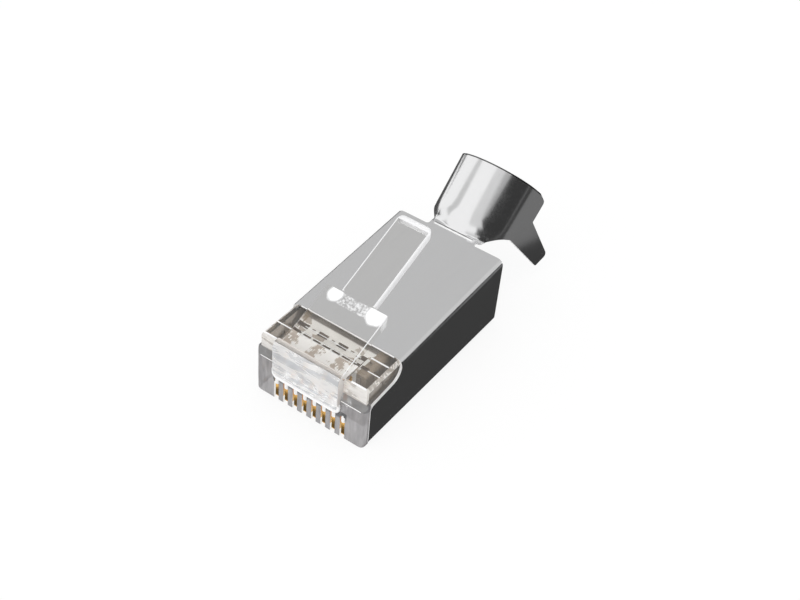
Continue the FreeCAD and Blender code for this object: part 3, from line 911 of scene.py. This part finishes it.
def rounded_sections(y, half, low, high, radius, steps=3):
    """Loops of rounded rectangles across the plug, one at each y, as an array (n, m, 3).

    Each corner is an arc of the given radius about a centre that far in from both sides. The
    loop runs from the lower right corner up, over the top to the left, and back below.
    """
    radius = np.minimum(radius, np.minimum(half, (high - low) / 2) * 0.98)
    quarter = np.linspace(0, pi / 2, steps + 1)
    turn = np.concatenate([quarter + start * pi / 2 for start in (-1, 0, 1, 2)])
    right = np.repeat((1, 1, -1, -1), steps + 1)
    upper = np.repeat((-1, 1, 1, -1), steps + 1)
    x = right * (half - radius)[:, None] + radius[:, None] * np.cos(turn)
    middle = ((low + high) / 2)[:, None]
    z = middle + upper * ((high - low) / 2 - radius)[:, None] + radius[:, None] * np.sin(turn)
    return columns(x, y[:, None], z)


def tube(path, radius, sides=8):
    """Loops of a closed round bar along a path of points (n, 3): circles at right angles to it.

    Each circle is radius * (cos t * side + sin t * rise). Both are at right angles to the path's
    direction there, and side is also at right angles to a line that leans forward.
    """
    along = np.gradient(path, axis=0)
    along /= np.linalg.norm(along, axis=1, keepdims=True)
    side = np.cross(along, (0.0, -0.8, 0.6))
    side /= np.linalg.norm(side, axis=1, keepdims=True)
    rise = np.cross(side, along)
    turn = np.linspace(0, 2 * pi, sides, endpoint=False)[None, :, None]
    return path[:, None] + radius * (np.cos(turn) * side[:, None] + np.sin(turn) * rise[:, None])


def bead_paths():
    """Path and radius of each bead, in millimetres, with y from the nose's face."""
    half = (LATCH_HIGH.x - LATCH_LOW.x) / 2 / MM
    edge = HALF_WIDTH / MM
    roof = HOUSING_HIGH.z / MM - 0.55
    # The rim goes down, along and up round the lower corners of the block below the latch.
    left, low, high, r = -half * LEFT_WIDER, 2.9, 3.75, 0.5
    turn = np.linspace(0, pi / 2, 6)
    turn_x, turn_z = r * np.sin(turn), low + r - r * np.cos(turn)
    rim_x = np.r_[[left], left + r - turn_x[::-1], half - r + turn_x, [half]]
    rim_z = np.r_[[high], turn_z[::-1], turn_z, [high]]
    paths = [(columns(rim_x, -0.2, rim_z), 0.17)]
    bars = [((x0, y, roof), (x1, y, roof), 8, radius) for x0, x1, y, radius in (
        (-4.95, 4.95, 5.0, 0.06), (3.5, 5.3, 3.72, 0.07), (4.2, 5.4, 2.3, 0.045),
        (-5.4, -3.8, 2.2, 0.06), (-5.4, -3.85, 0.5, 0.08), (3.9, 5.4, 0.5, 0.09))]
    # Bars along the sheet's front edge on each side and along the ledge below the latch, whose white is
    # painted highlight.
    for side, x0, x1 in ((-1, 0.5 - edge, -half - 0.1), (1, half + 0.1, edge - 0.5)):
        seam = side * (edge - 0.035)
        bars.append(((seam, 0.66, 0.5), (seam, 0.66, 4.4), 8, 0.035))
        bars.append(((x0, 0.03, 4.2), (x1, 0.03, 4.2), 8, 0.045))
    # A bar in each slot above its blade, whose white is painted highlight on the slot's walls.
    for name in CONTACTS:
        low_corner, high_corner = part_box(name)
        x = (low_corner.x + high_corner.x) / 2 / MM
        bars.append(((x, 0.2, 1.83), (x, 0.2, 2.62), 5, 0.24))
    for y, z in ((2.42, 6.28), (2.68, 6.3178), (3.3, 6.448)):
        bars.append(((0.1 - half, y, z), (half - 0.5, y, z), 8, 0.035))
    return paths + [(np.linspace(start, end, count), radius) for start, end, count, radius in bars]


class PLUG_OT_beads(bpy.types.Operator):
    """Makes the fine beads of the housing as one piece, white as painted highlight along the moulding's
    edges: round bars below the latch root, on the ledges and on the relief"""
    bl_idname = "network_plug.beads"
    bl_label = "Make beads"

    def execute(self, context):
        verts, faces, count = [], [], 0
        for path, radius in bead_paths():
            loops = tube(path, radius)
            verts.append(loops.reshape(-1, 3))
            faces += [[i + count for i in face] for face in swept(loops)]
            count += len(verts[-1])
        corners = np.concatenate(verts) * MM + (0, FACE_Y, 0)
        beads = new_object("housing_beads", corners, faces, "plug")
        # White beads: painted highlight along the moulding's edges.
        beads.data.materials.append(frosted_material("bead_highlight", (0.98, 0.98, 0.98), 0.1, 0.3))
        return {"FINISHED"}


def latch_sections(sizes, shoulder_y, edge_round):
    """Sections of the latch, carried along y: a half round root end, a plate that thickens to
    the two shoulders, and a narrower lever whose end is rounded in plan."""
    hinge_y, root_r = FACE_Y + HINGE_Y * MM, sizes.root_radius
    hinge_z = HOUSING_HIGH.z - root_r
    wide, narrow = (LATCH_HIGH.x - LATCH_LOW.x) / 2, sizes.lever_width / 2
    shoulder_z = hinge_z + root_r + sizes.shoulder_rise
    shoulder_low = shoulder_z - sizes.shoulder_height
    slope = (LATCH_HIGH.z - shoulder_z) / (LATCH_HIGH.y - shoulder_y)
    drop = sizes.lever_thickness * hypot(1, slope)
    round_off = edge_round * 2

    turn = np.linspace(0.12, 1, 6) * pi / 2
    cap_y = hinge_y - root_r * np.cos(turn)
    cap = root_r * np.sin(turn)
    share = np.linspace(0, 1, 14)[1:]
    plate_y = hinge_y + share * (shoulder_y - hinge_y)
    plate_y[-1] -= round_off
    plate_high = hinge_z + root_r + share * (shoulder_z - hinge_z - root_r)
    plate_low = hinge_z - root_r + share * (shoulder_low - hinge_z + root_r)

    end_turn = np.linspace(0, 0.97, 9) * pi / 2
    end_r = sizes.end_radius
    end_start = LATCH_HIGH.y - end_r
    straight_y = np.linspace(shoulder_y, end_start - 0.08 * MM, 16)[1:-1]
    lever_y = np.r_[[shoulder_y + 0.001 * MM], straight_y, end_start + end_r * np.sin(end_turn)]
    lever_half = np.r_[np.full(15, narrow), narrow - end_r + end_r * np.cos(end_turn)]
    lever_high = shoulder_z + slope * (lever_y - shoulder_y)
    soft = np.r_[np.zeros(15), 1 - np.cos(end_turn)] * round_off

    y = np.r_[cap_y, plate_y, [shoulder_y], lever_y]
    half = np.r_[np.full(len(cap_y) + len(plate_y), wide), [wide - round_off], lever_half]
    high = np.r_[hinge_z + cap, plate_high, [shoulder_z - round_off], lever_high - soft]
    low = np.r_[hinge_z - cap, plate_low, [shoulder_low + round_off], lever_high - drop + soft]
    return rounded_sections(y, half, low, high, np.where(y > shoulder_y, 2.2, 1) * edge_round)


class PLUG_OT_latch(bpy.types.Operator):
    """Makes the clear latch, which turns about its root on the nose"""
    bl_idname = "network_plug.latch"
    bl_label = "Make latch"

    def execute(self, context):
        sizes = context.scene.plug_moulding
        shoulder_y = FACE_Y + context.scene.plug_latch.shoulder_y
        sections = latch_sections(context.scene.plug_latch, shoulder_y, sizes.edge_round)
        corners, faces = sections.reshape(-1, 3), swept(sections)
        latch = new_object("latch_lever", corners, faces, "latch")
        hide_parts("latch")
        latch.visible_glossy = False

        mesh = latch.data
        y = face_rows(mesh, "center")[:, 1]
        across, ahead, up = face_rows(mesh, "normal").T
        # Painted highlight on the rim faces: round the lever, and in front of the shoulders only on the
        # plate's right edge.
        long_edge = (np.abs(across) > 0.15) & (up > 0.15)
        end_rim = (y > LATCH_HIGH.y - 0.62 * MM) & (up > 0.3)
        lever_rims = long_edge | (ahead > 0.5) | end_rim | (across > 0.5)
        rims = np.where(y > shoulder_y + 0.01 * MM, lever_rims, long_edge & (across > 0))
        mesh.polygons.foreach_set("material_index", np.where(rims, 1, 0))
        mesh.materials.append(latch_material(sizes.tint, shoulder_y))
        # White rims: painted highlight along the latch's edges.
        mesh.materials.append(frosted_material("latch_rim_highlight", (0.93, 0.93, 0.94), 0.2))
        return {"FINISHED"}


class PLUG_OT_wire_guide(bpy.types.Operator):
    """Makes the wire guide inside the nose"""
    bl_idname = "network_plug.wire_guide"
    bl_label = "Make wire guide"

    def execute(self, context):
        sizes = context.scene.plug_moulding
        mesh = merged_copy("wire_guide", "wire_guide_block", "plug").data
        mesh.materials.append(guide_material(sizes.painted_patch_tint, FACE_Y + 4.7 * MM))
        # Painted shade inside the guide's windows.
        mesh.materials.append(frosted_material("guide_window_shade", sizes.window_shade_tint, 0.3, 0.3))
        _, y, z = face_rows(mesh, "center").T / MM
        top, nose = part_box("wire_guide")[1].z / MM, FACE_Y / MM
        window = between(z, top - 0.52, top - 0.05) & between(y, nose + 2.2, nose + 4.2)
        mesh.polygons.foreach_set("material_index", np.where(window, 1, 0))
        return {"FINISHED"}


class PLUG_OT_contacts(bpy.types.Operator):
    """Gives the eight contact blades their gold plating"""
    bl_idname = "network_plug.contacts"
    bl_label = "Finish contacts"

    def execute(self, context):
        gold = gold_material(context.scene.plug_contacts.tint)
        for name in CONTACTS:
            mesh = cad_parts[name].data
            mesh.materials.clear()
            mesh.materials.append(gold)
        return {"FINISHED"}


# Stage

def rectangle(u0, u1, v0, v1):
    return [(u0, v0), (u1, v0), (u1, v1), (u0, v1)]


NOSE = FACE_Y / MM
# Cards on the floor: name, level, and where they reach in x and in y, in millimetres.
FLOOR_CARDS = (
    ("near_card", 0.048, 5.5, 12.5, NOSE - 6, NOSE + 75),
    ("mid_card", 0.18, 12.5, 32, NOSE + 23, NOSE + 75),
    ("side_card", 0.05, 12.5, 32, NOSE - 6, NOSE + 23),
    ("far_card", 0.05, 32, 70, NOSE - 30, NOSE + 100),
    ("edge_card", 0.14, 70, 120, NOSE - 30, NOSE + 100),
    ("left_card", 0.08, -34, -5, 6, 100),
    ("arc_card", 0.08, -120, -34, 30, 110),
    ("left_front_card", 0.08, -60, -6.5, -70, 6),
    ("front_card", 0.12, -4.4, 4.4, NOSE - 0.9, NOSE - 0.05),
)
# Upright cards: name, level, axis across them, place on it, and outline on the other two axes.
DARK_SIDE = [(-190, 0), (160, 0), (160, 8), (110, 14), (60, 72), (-190, 177)]
UPRIGHT_CARDS = (
    ("dark_side_card", 0.042, 0, 120, DARK_SIDE),
    ("front_grey_card", 0.72, 1, -110, rectangle(15, 119, 60, 230)),
    ("side_grey_card", 0.45, 1, -110, rectangle(119, 210, 60, 300)),
    ("left_grey_card", 0.62, 0, -120, rectangle(-80, -33, 30, 130)),
    ("grey_back_card", 0.575, 1, 100, rectangle(-300, 45, 30, 420)),
    ("low_left_card", 0.5, 1, 100, rectangle(-300, -60, 0, 30)),
    ("pale_back_card", 0.66, 1, 100, rectangle(45, 210, 34, 420)),
)


def stage_object(name, axis, place, outline):
    """Flat piece of the stage at right angles to an axis, in metres."""
    corners = np.insert(np.array(outline, dtype=float), axis, place, axis=1)
    obj = linked(name, new_mesh(name, corners, [range(len(corners))]))
    return obj


def card(name, level, axis, place, outline):
    """Flat card of an even grey level, in millimetres, that only shows in reflections and
    through clear plastic."""
    obj = stage_object(name, axis, place * MM, np.array(outline) * MM)
    shade = new_material(name)
    glow = shade.add("Emission", {"Color": WHITE, "Strength": level})["Emission"]
    shade.own("Material Output", {"Surface": glow})
    obj.data.materials.append(shade.material)
    obj.visible_camera = False
    obj.visible_diffuse = False
    obj.visible_shadow = False
    return obj


def seen_directly(shade):
    """1 for a ray from the camera, a reflection or clear plastic, and 0 for any other."""
    path = shade.add("LightPath", {})
    seen = path["Is Camera Ray"].math("MAXIMUM", path["Is Glossy Ray"])
    return seen.math("MAXIMUM", path["Is Transmission Ray"])


def make_floor(tint):
    """Pale floor, 3 m wide, that glows for rays which see it directly, so that it looks even."""
    floor = stage_object("floor", 2, 0, rectangle(-1.5, 1.5, -1.5, 1.5))
    floor.location.z = -0.01 * MM
    shade = new_material("pale_floor")
    matt = shade.principled(tint, 0.9, {})
    shade.surface(seen_directly(shade) * 0.85, matt, shade.add("Emission", {"Color": WHITE})["Emission"])
    floor.data.materials.append(shade.material)


def make_world(level):
    """World that gives light of a level, and is white for rays which see it directly."""
    world = bpy.data.worlds.new("studio")
    bpy.context.scene.world = world
    world.use_nodes = True
    shade = Shading(world.node_tree)
    plain = shade.own("Background", {"Color": WHITE, "Strength": level})["Background"]
    white = shade.add("Background", {"Color": WHITE, "Strength": 1.0})["Background"]
    shade.surface(seen_directly(shade), plain, white, "World Output")


def place_camera():
    """Camera at the photograph's viewing angle, fitted to it with the plug's true size."""
    azimuth, elevation, roll = (radians(a) for a in (31.676, 42.071, 5.607))
    distance = 112.469 * MM
    focal_pixels, width_pixels = 1303.08, 800
    target = (1.878 * MM, FACE_Y + 10 * MM, 7.764 * MM)
    data = bpy.data.cameras.new("camera")
    data.sensor_width = 36
    data.lens = data.sensor_width * focal_pixels / width_pixels
    data.clip_start = 1 * MM
    data.clip_end = 10
    camera = linked("camera", data)
    camera.matrix_world = (
        Matrix.Translation(target)
        @ Matrix.Rotation(azimuth, 4, "Z") @ Matrix.Rotation(pi / 2 - elevation, 4, "X")
        @ Matrix.Rotation(roll, 4, "Z") @ Matrix.Translation((0, 0, distance)))
    bpy.context.scene.camera = camera


def place_lamp(level):
    """Soft round lamp, 0.8 m across, above and behind the camera, that no surface mirrors."""
    back, up = 0.42, 0.42
    data = bpy.data.lights.new("soft_lamp", "AREA")
    data.shape = "DISK"
    data.size = 0.8
    data.energy = 1.2 * level
    lamp = linked("soft_lamp", data)
    lamp.location = (0, -back, up)
    lamp.rotation_euler.x = atan2(back, up - 0.01)
    lamp.visible_glossy = False


class PLUG_OT_stage(bpy.types.Operator):
    """Makes the floor, the light, the cards and the camera"""
    bl_idname = "network_plug.stage"
    bl_label = "Make stage"

    def execute(self, context):
        settings = context.scene.plug_stage
        context.scene.view_settings.view_transform = "Standard"
        place_camera()
        make_floor(settings.floor_tint)
        make_world(settings.world_level)
        for name, level, *reach in FLOOR_CARDS:
            card(name, level, 2, 0.02, rectangle(*reach)).visible_transmission = False
        for row in UPRIGHT_CARDS:
            card(*row)
        place_lamp(settings.lamp_level)
        return {"FINISHED"}


class PLUG_PT_panel(bpy.types.Panel):
    """Lists the plug's sizes and the steps that make it"""
    bl_idname = "PLUG_PT_panel"
    bl_label = "Network Plug"
    bl_space_type = "VIEW_3D"
    bl_region_type = "UI"
    bl_category = "Plug"

    def draw(self, context):
        layout = self.layout
        for group_name in GROUPS:
            group = getattr(context.scene, group_name)
            box = layout.box()
            for name in group.bl_rna.properties.keys():
                if name not in {"rna_type", "name"}:
                    box.prop(group, name)
        for step in STEPS:
            layout.operator(step.bl_idname)


GROUPS = {
    "plug_shield": ShieldSizes,
    "plug_moulding": MouldingSizes,
    "plug_latch": LatchSizes,
    "plug_contacts": ContactSizes,
    "plug_stage": StageSettings,
}
STEPS = (
    PLUG_OT_stage,
    PLUG_OT_shield,
    PLUG_OT_housing,
    PLUG_OT_beads,
    PLUG_OT_latch,
    PLUG_OT_wire_guide,
    PLUG_OT_contacts,
)


def register():
    for cls in (*GROUPS.values(), *STEPS, PLUG_PT_panel):
        bpy.utils.register_class(cls)
    for name, group in GROUPS.items():
        setattr(bpy.types.Scene, name, PointerProperty(type=group))


def unregister():
    for name in GROUPS:
        delattr(bpy.types.Scene, name)
    for cls in reversed((*GROUPS.values(), *STEPS, PLUG_PT_panel)):
        bpy.utils.unregister_class(cls)


def main():
    register()
    bpy.ops.network_plug.stage()
    bpy.ops.network_plug.shield()
    bpy.ops.network_plug.housing()
    bpy.ops.network_plug.beads()
    bpy.ops.network_plug.latch()
    bpy.ops.network_plug.wire_guide()
    bpy.ops.network_plug.contacts()


if __name__ == "__main__":
    main()
